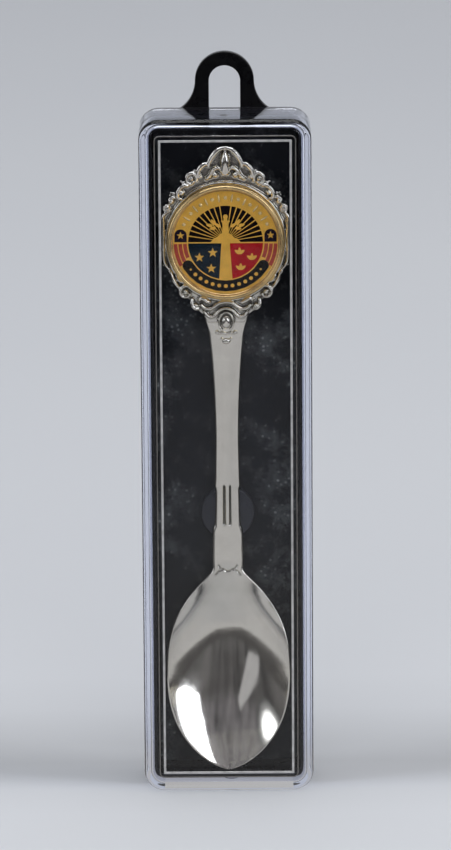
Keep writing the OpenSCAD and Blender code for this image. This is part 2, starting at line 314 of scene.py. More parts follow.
def let_lamps_through(mat, nodes, links, shader, tint):
    """Shadow and diffuse rays pass a clear piece, so that lamps reach what it covers."""
    path = nodes.new("ShaderNodeLightPath")
    either = nodes.new("ShaderNodeMath")
    either.operation = "MAXIMUM"
    links.new(path.outputs["Is Shadow Ray"], either.inputs[0])
    links.new(path.outputs["Is Diffuse Ray"], either.inputs[1])
    clear = nodes.new("ShaderNodeBsdfTransparent")
    clear.inputs["Color"].default_value = tint
    mix = nodes.new("ShaderNodeMixShader")
    links.new(either.outputs[0], mix.inputs[0])
    links.new(shader.outputs[0], mix.inputs[1])
    links.new(clear.outputs[0], mix.inputs[2])
    links.new(mix.outputs[0], nodes["Material Output"].inputs["Surface"])


def clear_plastic():
    mat, nodes, links, shader = new_material("clear_plastic")
    shader.inputs["Base Color"].default_value = (0.86, 0.89, 1.0, 1)
    shader.inputs["Transmission Weight"].default_value = 1
    shader.inputs["IOR"].default_value = 1.38
    vec = object_coords(nodes, links, 1.0)
    handling = noise(nodes, links, vec, 90, 6)
    links.new(ramp(nodes, links, handling, [(0.45, grey(0.0)), (0.75, grey(0.05))]),
              shader.inputs["Roughness"])
    bump(nodes, links, shader, noise(nodes, links, vec, 60, 2), 0.03, 0.001)
    let_lamps_through(mat, nodes, links, shader, (0.96, 0.97, 1.0, 1))
    return mat


def silver(name="silver_plate", tone=(0.87, 0.82, 0.66), recess=0.0):
    """Polished silver plate; recess is the reach in mm of the painted shade that an ambient occlusion node
    puts into hollows and creases, darkening them and lightening open faces a little.
    """
    mat, nodes, links, shader = new_material(name)
    vec = object_coords(nodes, links, 1.0)
    haze = noise(nodes, links, vec, 220, 6, 0.6)
    shader.inputs["Metallic"].default_value = 1
    low = tuple(c * 0.93 for c in tone)
    plate = ramp(nodes, links, haze, [(0.35, low), (0.65, tone)])
    if recess:
        # Painted shade: ambient occlusion darkens the silver's colour in hollows and creases
        hollow = nodes.new("ShaderNodeAmbientOcclusion")
        hollow.samples = 6
        hollow.only_local = True
        hollow.inputs["Distance"].default_value = recess * MM
        hollow_shade_mix = nodes.new("ShaderNodeMix")
        hollow_shade_mix.data_type = "RGBA"
        hollow_shade_mix.blend_type = "MULTIPLY"
        hollow_shade_mix.inputs["Factor"].default_value = 1
        links.new(plate, hollow_shade_mix.inputs["A"])
        hollow_shade_tones = [(0.35, grey(0.06)), (0.65, grey(0.42)), (0.92, grey(1.14))]
        links.new(ramp(nodes, links, hollow.outputs["AO"], hollow_shade_tones), hollow_shade_mix.inputs["B"])
        plate = hollow_shade_mix.outputs["Result"]
    links.new(plate, shader.inputs["Base Color"])
    links.new(ramp(nodes, links, haze, [(0.3, grey(0.045)), (0.75, grey(0.11))]), shader.inputs["Roughness"])
    bump(nodes, links, shader, noise(nodes, links, vec, 900, 3), 0.02, 0.0002)
    return mat


def gilt(name, colour, rough=0.16, metallic=1.0):
    mat, nodes, links, shader = new_material(name)
    vec = object_coords(nodes, links, 1.0)
    wear = noise(nodes, links, vec, 700, 5)
    shader.inputs["Metallic"].default_value = metallic
    low = tuple(c * 0.82 for c in colour)
    links.new(ramp(nodes, links, wear, [(0.3, low), (0.7, colour)]), shader.inputs["Base Color"])
    links.new(ramp(nodes, links, wear, [(0.3, grey(rough)), (0.7, grey(rough + 0.1))]),
              shader.inputs["Roughness"])
    bump(nodes, links, shader, wear, 0.06, 0.0003)
    return mat


def enamel(name, colour):
    mat, nodes, links, shader = new_material(name)
    vec = object_coords(nodes, links, 1.0)
    mottle = noise(nodes, links, vec, 900, 4)
    low = tuple(c * 0.75 for c in colour)
    links.new(ramp(nodes, links, mottle, [(0.35, low), (0.65, colour)]), shader.inputs["Base Color"])
    shader.inputs["Roughness"].default_value = 0.18
    shader.inputs["Coat Weight"].default_value = 0.4
    bump(nodes, links, shader, mottle, 0.05, 0.0002)
    return mat


def black_plastic():
    mat, nodes, links, shader = new_material("black_plastic")
    vec = object_coords(nodes, links, 1.0)
    dust = noise(nodes, links, vec, 450, 8, 0.7)
    links.new(ramp(nodes, links, dust, [(0.62, (0.002, 0.002, 0.003)), (0.8, (0.02, 0.02, 0.02))]),
              shader.inputs["Base Color"])
    links.new(ramp(nodes, links, dust, [(0.35, grey(0.22)), (0.7, grey(0.42))]), shader.inputs["Roughness"])
    shader.inputs["Specular IOR Level"].default_value = 0.25
    bump(nodes, links, shader, noise(nodes, links, vec, 1500, 3), 0.08, 0.0003)
    return mat


def dusty_card():
    mat, nodes, links, shader = new_material("dusty_card")
    vec = object_coords(nodes, links, 1.0)
    specks = nodes.new("ShaderNodeTexVoronoi")
    specks.inputs["Scale"].default_value = 900
    specks.inputs["Randomness"].default_value = 1
    links.new(vec, specks.inputs["Vector"])
    flecks = ramp(nodes, links, specks.outputs["Distance"], [(0.1, grey(1)), (0.32, grey(0))])
    cloud = ramp(nodes, links, noise(nodes, links, vec, 130, 7, 0.72), [(0.47, grey(0)), (0.7, grey(1))])
    split = nodes.new("ShaderNodeSeparateXYZ")
    links.new(vec, split.inputs[0])
    edge = nodes.new("ShaderNodeMath")
    edge.operation = "ABSOLUTE"
    shifted = nodes.new("ShaderNodeMath")
    shifted.operation = "ADD"
    shifted.inputs[1].default_value = 0.002
    links.new(split.outputs["X"], shifted.inputs[0])
    links.new(shifted.outputs[0], edge.inputs[0])
    near_edge = nodes.new("ShaderNodeMapRange")
    near_edge.inputs["From Min"].default_value = 0.003
    near_edge.inputs["From Max"].default_value = 0.014
    near_edge.inputs["To Min"].default_value = 0.25
    near_edge.inputs["To Max"].default_value = 1.0
    links.new(edge.outputs[0], near_edge.inputs["Value"])
    amount = nodes.new("ShaderNodeMath")
    amount.operation = "MULTIPLY"
    links.new(cloud, amount.inputs[0])
    links.new(near_edge.outputs[0], amount.inputs[1])
    fleck_amount = nodes.new("ShaderNodeMath")
    fleck_amount.operation = "MULTIPLY"
    links.new(flecks, fleck_amount.inputs[0])
    links.new(amount.outputs[0], fleck_amount.inputs[1])
    total = nodes.new("ShaderNodeMath")
    total.operation = "MULTIPLY_ADD"
    total.inputs[1].default_value = 0.35
    links.new(amount.outputs[0], total.inputs[0])
    links.new(fleck_amount.outputs[0], total.inputs[2])
    card_to_dust = [(0.0, (0.0028, 0.0042, 0.0065)), (1.0, (0.3, 0.31, 0.28))]
    links.new(ramp(nodes, links, total.outputs[0], card_to_dust), shader.inputs["Base Color"])
    shader.inputs["Roughness"].default_value = 0.6
    shader.inputs["Sheen Weight"].default_value = 0.02
    shader.inputs["Specular IOR Level"].default_value = 0.2
    bump(nodes, links, shader, total.outputs[0], 0.25, 0.0003)
    return mat


def foam():
    mat, nodes, links, shader = new_material("foam")
    vec = object_coords(nodes, links, 1.0)
    cells = nodes.new("ShaderNodeTexVoronoi")
    cells.inputs["Scale"].default_value = 2600
    links.new(vec, cells.inputs["Vector"])
    cell_tones = [(0.1, (0.012, 0.013, 0.015)), (0.6, (0.025, 0.027, 0.031))]
    links.new(ramp(nodes, links, cells.outputs["Distance"], cell_tones), shader.inputs["Base Color"])
    shader.inputs["Roughness"].default_value = 0.7
    bump(nodes, links, shader, cells.outputs["Distance"], 0.4, 0.0002)
    return mat


def tacky():
    mat, nodes, links, shader = new_material("tacky_dot")
    vec = object_coords(nodes, links, 1.0)
    film = noise(nodes, links, vec, 400, 4)
    links.new(ramp(nodes, links, film, [(0.3, (0.013, 0.015, 0.018)), (0.7, (0.02, 0.022, 0.027))]),
              shader.inputs["Base Color"])
    shader.inputs["Roughness"].default_value = 0.35
    bump(nodes, links, shader, film, 0.1, 0.0002)
    return mat


def epoxy():
    mat, nodes, links, shader = new_material("clear_epoxy")
    shader.inputs["Base Color"].default_value = (1.0, 0.985, 0.95, 1)
    shader.inputs["Transmission Weight"].default_value = 1
    shader.inputs["IOR"].default_value = 1.36
    vec = object_coords(nodes, links, 1.0)
    links.new(ramp(nodes, links, noise(nodes, links, vec, 300, 4), [(0.4, grey(0.0)), (0.8, grey(0.04))]),
              shader.inputs["Roughness"])
    let_lamps_through(mat, nodes, links, shader, (1.0, 0.99, 0.96, 1))
    return mat


def frosted_line(name, colour, rough):
    mat, nodes, links, shader = new_material(name)
    vec = object_coords(nodes, links, 1.0)
    grain = noise(nodes, links, vec, 700, 5)
    low = tuple(c * 0.6 for c in colour)
    links.new(ramp(nodes, links, grain, [(0.3, low), (0.7, colour)]), shader.inputs["Base Color"])
    shader.inputs["Metallic"].default_value = 0.3
    shader.inputs["Roughness"].default_value = rough
    bump(nodes, links, shader, grain, 0.1, 0.0002)
    return mat


def floor_material():
    """Pale paper with a painted shadow band behind the object; seen in reflections, the paper in front is
    swapped for a glow, a painted reflection that fades out towards the front as a tabletop's edge does.
    """
    mat, nodes, links, shader = new_material("pale_floor")
    vec = object_coords(nodes, links, 1.0)
    paper = noise(nodes, links, vec, 3, 3)
    split = nodes.new("ShaderNodeSeparateXYZ")
    links.new(vec, split.inputs[0])
    # Painted shadow: the paper's colour darkens in a band just behind the object
    shadow_band = nodes.new("ShaderNodeMapRange")
    shadow_band.inputs["From Min"].default_value = -0.02
    shadow_band.inputs["From Max"].default_value = 0.07
    links.new(split.outputs["Y"], shadow_band.inputs["Value"])
    sheet = nodes.new("ShaderNodeMix")
    sheet.data_type = "RGBA"
    sheet.blend_type = "MULTIPLY"
    sheet.inputs["Factor"].default_value = 1
    paper_tones = [(0.3, (0.60, 0.62, 0.66)), (0.7, (0.62, 0.64, 0.675))]
    links.new(ramp(nodes, links, paper, paper_tones), sheet.inputs["A"])
    links.new(ramp(nodes, links, shadow_band.outputs["Result"], PAINTED_SHADOW_BAND), sheet.inputs["B"])
    links.new(sheet.outputs["Result"], shader.inputs["Base Color"])
    shader.inputs["Roughness"].default_value = 0.7
    # Painted reflection: glossy rays that reach the floor in front get an emission, graded by distance, in
    # place of the lit paper
    strip = nodes.new("ShaderNodeMapping")
    strip.inputs["Location"].default_value = (-STRIP[0] * STRIP[1], 0, 0)
    strip.inputs["Scale"].default_value = (STRIP[1], STRIP[2], 1)
    links.new(vec, strip.inputs["Vector"])
    reach = nodes.new("ShaderNodeVectorMath")
    reach.operation = "LENGTH"
    links.new(strip.outputs["Vector"], reach.inputs[0])
    path = nodes.new("ShaderNodeLightPath")
    which = nodes.new("ShaderNodeMix")
    which.data_type = "RGBA"
    links.new(path.outputs["Is Transmission Ray"], which.inputs["Factor"])
    links.new(ramp(nodes, links, reach.outputs["Value"], WINDOW_SEES), which.inputs["A"])
    links.new(ramp(nodes, links, reach.outputs["Value"], METAL_SEES), which.inputs["B"])
    painted_reflection_glow = nodes.new("ShaderNodeEmission")
    links.new(which.outputs["Result"], painted_reflection_glow.inputs["Color"])
    front = nodes.new("ShaderNodeMapRange")
    front.inputs["From Min"].default_value = 0.03
    front.inputs["From Max"].default_value = 0.01
    links.new(split.outputs["Y"], front.inputs["Value"])
    mirrored = nodes.new("ShaderNodeMath")
    mirrored.operation = "MULTIPLY"
    links.new(path.outputs["Is Glossy Ray"], mirrored.inputs[0])
    links.new(front.outputs["Result"], mirrored.inputs[1])
    mix = nodes.new("ShaderNodeMixShader")
    links.new(mirrored.outputs[0], mix.inputs[0])
    links.new(shader.outputs[0], mix.inputs[1])
    links.new(painted_reflection_glow.outputs[0], mix.inputs[2])
    links.new(mix.outputs[0], nodes["Material Output"].inputs["Surface"])
    return mat


# ---------------------------------------------------------------- the case


def build_lid(plastic):
    edge_r = 1.2
    outer = [(0, LID_DEPTH), (0, 7)] + quarter_arc(0, RIB_H, edge_r)
    outer += [(2.85, RIB_H), (2.95, 0.12), (3.06, 0.04), (3.62, 0.04), (3.74, 0.12), (3.98, RIB_H)]
    inside_r = 1.0
    inner = [(LID_WALL + inside_r * (1 - math.cos(math.radians(18 * i))),
              RIB_H + WINDOW_T + inside_r * (1 - math.sin(math.radians(18 * i)))) for i in range(6)]
    inner = [(LID_WALL, LID_DEPTH), (LID_WALL, 7)] + inner
    rings = case_rings(list(reversed(outer)) + inner, smallest=0.12)
    verts, faces = stack_rings(rings)
    lid = mesh_from("lid_shell", verts, faces, sharp_deg=28)
    return finish_piece(lid, "lid", plastic, ["case_lid"])


def frame_strip(name, inset, width, thick, material):
    """A thin line that follows the window's rectangle."""
    back = 0.05
    front = back - thick
    profile = [(inset, back), (inset + 0.04, front), (inset + width - 0.04, front), (inset + width, back)]
    rings = case_rings(profile, smallest=0.12, steps=4)
    count = len(rings[0])
    verts, faces = stack_rings(rings, False, False)
    last = (len(rings) - 1) * count
    faces += [(last + i, last + (i + 1) % count, (i + 1) % count, i) for i in range(count)]
    strip = mesh_from(name, verts, faces, sharp_deg=28)
    return finish_piece(strip, "lid", material)


def build_lid_marks(plastic):
    """The two snap dimples seen as small lens shapes in the short walls."""
    soup = Soup()
    soup.add(ball((-0.2, FRONT + 6.5, CASE_H - LID_WALL - 0.02), (0.75, 0.9, 0.14)))
    soup.add(ball((0.4, FRONT + 6.0, LID_WALL + 0.02), (1.5, 1.6, 0.16)))
    marks = mesh_from("lid_snap_marks", soup.verts, soup.faces, sharp_deg=0)
    return finish_piece(marks, "lid", plastic)


def flat_solid(name, outline, holes, half_thick, bevel):
    """An extruded outline in the XZ plane with rounded edges, centred on y = 0, as a mesh."""
    data = bpy.data.curves.new(name, "CURVE")
    data.dimensions = "2D"
    data.fill_mode = "BOTH"
    data.extrude = (half_thick - bevel) * MM
    data.bevel_depth = bevel * MM
    data.bevel_resolution = 3
    data.offset = -bevel * MM
    for loop in [outline] + holes:
        line = data.splines.new("POLY")
        line.points.add(len(loop) - 1)
        line.use_cyclic_u = True
        for point, (x, z) in zip(line.points, loop):
            point.co = (x * MM, z * MM, 0, 1)
    temp = bpy.data.objects.new(name, data)
    bpy.context.scene.collection.objects.link(temp)
    bpy.context.view_layer.update()
    mesh = bpy.data.meshes.new_from_object(temp.evaluated_get(bpy.context.evaluated_depsgraph_get()))
    bpy.data.objects.remove(temp)
    bpy.data.curves.remove(data)
    mesh.transform(Matrix.Rotation(math.radians(90), 4, "X"))
    bm = bmesh.new()
    bm.from_mesh(mesh)
    bmesh.ops.remove_doubles(bm, verts=bm.verts, dist=0.003 * MM)
    bmesh.ops.recalc_face_normals(bm, faces=bm.faces)
    bm.to_mesh(mesh)
    bm.free()
    return mesh


def tray_plate_outline():
    """Front view of the tray's back plate with its hang loop, and of the slot, about the case's middle."""
    loop_r, slot_r, rise, flare = 5.5, 3.1, 5.0, 6.4
    top = CASE_H / 2 - TRAY_INSET
    mid = CASE_H / 2 + rise
    right = [(loop_r + flare * (1 - math.cos(math.radians(a))), top + flare * (1 - math.sin(math.radians(a))))
             for a in range(84, -1, -6)]
    arc = [(loop_r * math.cos(math.radians(a)), mid + loop_r * math.sin(math.radians(a)))
           for a in range(0, 181, 6)]
    left = [(-x, z) for x, z in reversed(right)]
    plate = rounded_ring(HALF_W - TRAY_INSET, top, CORNER_R - TRAY_INSET)
    cut = 9                     # the plate's points from its first corner's end
    outline = right + arc + left + plate[cut:] + plate[:cut]
    outline = [p for i, p in enumerate(outline) if i == 0 or math.dist(p, outline[i - 1]) > 0.01]
    slot = [(slot_r * math.cos(math.radians(a)), mid + slot_r * math.sin(math.radians(a)))
            for a in range(0, 181, 6)]
    slot += [(-slot_r, top + 0.7), (-slot_r + 0.3, top + 0.4), (slot_r - 0.3, top + 0.4), (slot_r, top + 0.7)]
    return outline, slot


def build_tray(plastic):
    outline, slot = tray_plate_outline()
    plate = flat_solid("tray_plate", outline, [slot], (TOTAL_DEPTH - LID_DEPTH) / 2, 0.18)
    wall_depth = 8
    outer = rounded_ring(HALF_W - TRAY_INSET, CASE_H / 2 - TRAY_INSET, CORNER_R - TRAY_INSET)
    inner = rounded_ring(HALF_W - TRAY_INSET - 1, CASE_H / 2 - TRAY_INSET - 1, CORNER_R - TRAY_INSET - 1)
    wall = flat_solid("tray_wall", outer, [inner], wall_depth / 2 + 0.2, 0.15)
    bm = bmesh.new()
    for mesh, y in ((plate, (TOTAL_DEPTH + LID_DEPTH) / 2), (wall, LID_DEPTH - wall_depth / 2 + 0.2)):
        mesh.transform(Matrix.Translation((0, (FRONT + y) * MM, CASE_H / 2 * MM)))
        bm.from_mesh(mesh)
        bpy.data.meshes.remove(mesh)
    joined = bpy.data.meshes.new("tray_moulding")
    bm.to_mesh(joined)
    bm.free()
    joined.shade_smooth()
    joined.set_sharp_from_angle(angle=math.radians(30))
    tray = bpy.data.objects.new("tray_moulding", joined)
    bpy.context.scene.collection.objects.link(tray)
    return finish_piece(tray, "tray", plastic, ["case_tray"])


def build_post(foam_mat, dot_mat):
    centre = ((POST_LO.x + POST_HI.x) / 2, 0, (POST_LO.z + POST_HI.z) / 2)
    r = (POST_HI.x - POST_LO.x) / 2
    soft = 0.35
    rim = [(r - soft * (1 - math.sin(math.radians(a))), POST_LO.y + soft * (1 - math.cos(math.radians(a))))
           for a in range(0, 91, 15)]
    sides = [(r - 0.12 * math.sin(math.pi * i / 6), POST_LO.y + soft + (POST_HI.y - POST_LO.y - soft) * i / 6)
             for i in range(1, 7)]
    post = turned("foam_post_soft", [(0, POST_LO.y)] + rim + sides + [(0, POST_HI.y)], centre)
    finish_piece(post, "tray", foam_mat, ["foam_post"])
    dr = (DOT_HI.x - DOT_LO.x) / 2
    edge = [(dr - 0.15, DOT_LO.y), (dr - 0.04, DOT_LO.y + 0.05), (dr, DOT_LO.y + 0.15), (dr, DOT_HI.y)]
    dot = turned("tacky_dot", [(0, DOT_LO.y)] + edge + [(0, DOT_HI.y)], centre)
    finish_piece(dot, "tray", dot_mat, ["adhesive_dot"])


# ---------------------------------------------------------------- the spoon

LINE_KNOTS = [(3.6, 2.7), (13, 4.5), (23, 5.9), (33, 7.15), (42, 8.05), (49, 8.4), (56, 8.35),
              (66, 7.85), (76, 7.15), (84, 6.55), (89, 6.2), (92, 6.1), (98, 6.2)]
HALF_KNOTS = [(36, 2.6), (41, 2.95), (44.7, 3.1), (48.2, 2.98), (49.2, 2.92), (50.1, 2.64), (52.4, 2.44),
              (56.7, 2.32), (57.25, 2.34), (57.65, 2.5), (60, 2.44), (62.3, 2.4), (68.2, 2.34), (73.9, 2.46),
              (78.5, 2.66), (83, 2.95), (86.3, 3.25), (88.5, 3.5), (90.6, 4.1), (92.7, 4.65), (98.7, 6)]
TIP_Z, BOWL_MID_Z, DISH_MID_Z, BOWL_END_Z, NECK_Z, LOFT_END_Z = SPOON_LO.z, 22.8, 29.8, 42.3, 43.3, 98
BOWL_HALF_W, BOWL_DISH, BOWL_T, HANDLE_T = 11.9, 4.1, 0.9, 1.9
NECK_LINES = [[(-2.35, 40.4), (-1.9, 41.05), (-1.35, 41.3), (-1.0, 41.45)],
              [(2.35, 40.4), (1.9, 41.05), (1.35, 41.3), (1.0, 41.45)],
              [(-1.0, 41.6), (-0.5, 41.2), (0, 41.08), (0.5, 41.2), (1.0, 41.6)],
              [(-1.35, 41.6), (-1.75, 42.3)], [(1.35, 41.6), (1.75, 42.3)]]


def bowl_half(z):
    if z < BOWL_MID_Z:
        t = (BOWL_MID_Z - z) / (BOWL_MID_Z - TIP_Z)
        return BOWL_HALF_W * max(0, 1 - t ** 2.5) ** 0.65
    if z < BOWL_END_Z:
        t = (z - BOWL_MID_Z) / (BOWL_END_Z - BOWL_MID_Z)
        return BOWL_HALF_W * max(0, 1 - t ** 2.3) ** 0.8
    return 0


def half_width(z):
    if z < 36:
        return bowl_half(z)
    return (bowl_half(z) ** 4 + curve(HALF_KNOTS, z) ** 4) ** 0.25


def dish(z):
    if z < DISH_MID_Z:
        return BOWL_DISH * (1 - ((DISH_MID_Z - z) / (DISH_MID_Z - TIP_Z)) ** 2)
    if z < NECK_Z:
        return BOWL_DISH * (1 - ((z - DISH_MID_Z) / (NECK_Z - DISH_MID_Z)) ** 2) ** 2
    return 0


def in_handle(z):
    return min(1, max(0, (z - 34) / 12))


def distance_to(line, x, z):
    best = 9
    for (ax, az), (bx, bz) in zip(line, line[1:]):
        dx, dz = bx - ax, bz - az
        t = min(1, max(0, ((x - ax) * dx + (z - az) * dz) / (dx * dx + dz * dz)))
        best = min(best, math.hypot(x - ax - t * dx, z - az - t * dz))
    return best


CROWN = 0.18  # how far the handle's front falls back at its edges, in mm


def front_relief(x, z, half):
    """Height of the handle's ornament over its plain front, in mm."""
    if z < 39:
        return 0
    rise = 0
    rib = 0.05 * (1 - smoothstep(0.4, 0.62, abs(x)))
    rise += rib * smoothstep(45, 49, z) * (1 - smoothstep(81.5, 83.5, z))
    rise += 0.02 * math.exp(-((x - 0.42) / 0.12) ** 2) * smoothstep(58, 59, z) * (1 - smoothstep(85, 87, z))
    if 49.8 < z < 58.3:
        ends = smoothstep(50, 50.5, z) * (1 - smoothstep(57.5, 58.1, z))
        rise -= 0.5 * ends * math.exp(-((abs(x) - (0.62 if x < 0 else 0.5)) / (0.2 if x < 0 else 0.14)) ** 2)
    thread = smoothstep(57.3, 57.8, z) * (1 - smoothstep(86, 89, z))
    rise += 0.1 * thread * smoothstep(half - 0.5, half - 0.36, abs(x))
    if 40 < z < 43.2:
        for line in NECK_LINES:
            rise -= 0.22 * math.exp(-(distance_to(line, x, z) / 0.14) ** 2)
    return rise


def section(z, across=64, edge_steps=6):
    """One closed ring of the spoon at height z: front, right edge, back, left edge."""
    half = half_width(z)
    line = curve(LINE_KNOTS, z)
    d = dish(z)
    k = in_handle(z)
    thick = BOWL_T + (HANDLE_T - BOWL_T) * k
    rim = min((thick - 0.7 * k) / 2, half * 0.6)
    flat = half - rim
    ring = []
    for i in range(across + 1):
        u = math.sin(math.pi * (i / across - 0.5))
        x = u * flat
        relief = front_relief(x, z, half) * smoothstep(0, 0.02, 1 - abs(u))
        depth = line + d * (1 - u * u) + CROWN * k * u * u - relief
        ring.append((x, FRONT + depth, z))
    front_edge = line + CROWN * k
    back_edge = line + thick - 0.3 * k
    middle, reach = (front_edge + back_edge) / 2, (back_edge - front_edge) / 2
    arc = [math.pi * (j / edge_steps) for j in range(1, edge_steps)]
    ring += [(flat + rim * math.sin(a), FRONT + middle - reach * math.cos(a), z) for a in arc]
    for i in range(across, -1, -1):
        u = math.sin(math.pi * (i / across - 0.5))
        ring.append((u * flat, FRONT + line + thick + d * (1 - u * u) - 0.3 * k * u * u, z))
    ring += [(-flat - rim * math.sin(a), FRONT + middle + reach * math.cos(a), z) for a in arc]
    return ring


def build_spoon_loft(metal):
    stations = [TIP_Z + 0.02 + 0.05 * 1.5 ** i for i in range(9)]
    z = stations[-1]
    while z < LOFT_END_Z - 0.2:
        step = 0.45
        if 39.8 < z < 43.5 or 49.2 < z < 51 or 56.2 < z < 58.6:
            step = 0.12
        z += step
        stations.append(min(z, LOFT_END_Z))
    verts, faces = stack_rings([section(z) for z in stations])
    spoon = mesh_from("spoon_bowl_and_handle", verts, faces, sharp_deg=0)
    return finish_piece(spoon, "spoon", metal, ["spoon"])


# Head ornament, right half, in mm from the medallion's centre: (x, height).
HEAD_OUTLINE = [
    (0, 18.4), (1.4, 17.91), (2.5, 16.89), (3.2, 15.49), (3.7, 15.22), (4.6, 14.84), (5.3, 13.88),
    (5.6, 13.13), (6.6, 13.23), (7.5, 12.27), (7.5, 11.53), (8.4, 11.31), (8.5, 10.57), (9.3, 9.62),
    (9.5, 8.9), (10.4, 9.1), (10.8, 8), (10.9, 7.1), (11.6, 6.6), (12, 5.2), (12, 4), (12, -3.8),
    (11.6, -4.71), (10.8, -5.54), (10.3, -6.98), (9.3, -8.58), (8.8, -9.78), (7.6, -10.78), (6.7, -11.28),
    (6.5, -12.58), (5.4, -13.18), (4.3, -14.08), (3.4, -15.58)]
# Scrolls are tubes: [(x, height)], radius.
SCROLLS = [
    ([(0, 17.91), (1.3, 17.48), (2.3, 16.46), (3.0, 15.16), (3.1, 14.2)], 0.42),
    ([(3.2, 14.84), (4.0, 14.73), (4.8, 13.98), (5.1, 13.02), (4.7, 12.16)], 0.4),
    ([(0.65, 13.13), (0.85, 13.77), (1.5, 14.04), (2.3, 13.55), (2.7, 12.81), (3.3, 12.06)], 0.27),

    ([(5.5, 11.42), (5.4, 12.38), (6.1, 13.07), (7.0, 12.7), (7.2, 11.74), (6.5, 11.0), (5.9, 11.53)], 0.32),
    ([(6.9, 10.68), (7.6, 10.78), (8.5, 10.15), (9.0, 9.1), (8.7, 8.3), (8.1, 8.2)], 0.34),
    ([(9.3, 8.3), (9.9, 8.5), (10.5, 7.9), (10.3, 7.1)], 0.28),
    ([(10.4, 6.1), (10.9, 6.9), (11.5, 6.5), (11.3, 5.8)], 0.28),

    ([(10.2, 5.9), (11.1, 5.6), (11.75, 4.7), (11.7, 3.2), (11.7, 0), (11.65, -3), (11.2, -4.47),
      (10.4, -5.42)], 0.26),
    ([(10.3, -5.66), (9.9, -7.08), (9.1, -8.38), (8.6, -8.98)], 0.3),
    ([(9.3, -6.28), (9.0, -7.18), (8.3, -7.78)], 0.24),

    ([(6.6, -8.98), (7.2, -8.38), (8.1, -8.58), (8.6, -9.48), (8.1, -10.38), (7.2, -10.48),
      (6.7, -9.88)], 0.3),
    ([(6.3, -10.78), (6.35, -11.98), (5.7, -12.78), (5.0, -12.58)], 0.34),
    ([(2.9, -11.68), (3.6, -11.28), (4.5, -10.78), (5.1, -11.28)], 0.34)]
# Right halves of the two mouldings that cross the neck.
WAVES = [
    ([(0, -11.53), (1.2, -11.73), (2.2, -12.38), (3.1, -12.83), (4.0, -12.63), (4.7, -11.98)], 0.3),
    ([(0, -12.73), (1.15, -13.08), (1.95, -13.88), (2.8, -14.38), (3.6, -13.98), (4.05, -13.33)], 0.28)]
BEADS = [
    (1.9, 12.75, 0.5), (3.45, 12.01, 0.3), (2.7, 12.22, 0.22), (5.75, 13.5, 0.3), (6.35, 12.06, 0.5),
    (7.85, 11.21, 0.36), (8.3, 11.47, 0.22), (8.2, 9.31, 0.5), (9.7, 9.21, 0.32), (10.2, 9.31, 0.2),
    (10.15, 7.75, 0.55), (10.95, 6.3, 0.42), (10.45, -5.72, 0.34), (7.55, -9.53, 0.52),
    (5.6, -12.23, 0.48), (4.55, -10.83, 0.42), (4.75, -12.13, 0.3), (4.0, -13.38, 0.3)]


def head_point(x, height, out):
    return (x, FACE_Y - out, MEDAL_Z + height)


def mirrored(points):
    return [(-p[0],) + tuple(p[1:]) for p in points]


def head_tube(points, radius, out=0.85, taper=True):
    """A rounded scroll: a tube that lies half sunk in the head's face and thins towards its ends."""
    smooth_points = spline(points, 7)
    n = len(smooth_points) - 1
    shaped = []
    for i, (x, height) in enumerate(smooth_points):
        t = i / n
        r = radius * (0.7 + 0.3 * math.sin(math.pi * min(1, t * 1.1))) if taper else radius
        shaped.append((*head_point(x, height, out * r), r))
    return tube(shaped, 10, 1.25)


def crest_leaf(soup):
    """The pointed leaf in the middle of the crest, with a raised spine."""
    rings = []
    for i in range(13):
        t = i / 12
        height = 12.7 + 4.9 * t
        half = 0.08 + 0.85 * math.sin(math.pi * min(1, 0.18 + t * 0.82)) ** 0.8
        swell = 0.5 + 0.5 * math.sin(math.pi * t)
        ring = []
        for a in [2 * math.pi * k / 16 + 0.01 for k in range(16)]:
            out = 0.15 + 1.05 * math.sin(a) ** 0.7 * swell if math.sin(a) > 0 else -0.4
            ring.append(head_point(half * math.cos(a), height, out))
        rings.append(ring)
    soup.add(stack_rings(rings))


def oval_jewel(soup):
    """The oval jewel in its rim at the top of the handle, with the small curls and drop below it."""
    y0 = 0.1
    rim = [(*head_point(1.35 * math.cos(a), -15.4 + 1.85 * math.sin(a), y0), 0.26)
           for a in [math.radians(-60 + 300 * i / 30) for i in range(31)]]
    soup.add(tube(rim, 10, 1.1))
    soup.add(ball(head_point(0, -15.4, y0 - 0.1), (0.95, 0.75, 1.35), 10, 20))
    curl = [(-1.75, -17.5), (-1.3, -17.75), (-0.7, -17.5), (0, -17.85), (0.7, -17.5), (1.3, -17.75),
            (1.75, -17.5)]
    for i, (x, height) in enumerate(curl[:-1]):
        bx, bh = curl[i + 1]
        soup.add(tube([(*head_point(x, height, -0.08), 0.26), (*head_point(bx, bh, -0.08), 0.26)], 8))
    for x in (-1.75, 1.75):
        soup.add(ball(head_point(x, -17.45, -0.05), (0.4, 0.42, 0.36)))
    soup.add(ball(head_point(0, -19.2, -0.25), (0.85, 0.5, 0.58), 8, 16))
    for x in (-0.85, 0.85):
        soup.add(ball(head_point(x, -18.75, -0.15), (0.3, 0.4, 0.28)))


def head_plate(soup):
    right = spline([(x, h) for x, h in HEAD_OUTLINE], 4)
    outline = right + [(-x, h) for x, h in reversed(right[1:])]
    rings = [[head_point(x * s, h * s + (1 - s) * 1.5, out) for x, h in outline]
             for s, out in ((0.985, -1.9), (1, -1.6), (1, -0.15), (0.985, 0))]
    soup.add(stack_rings(rings))


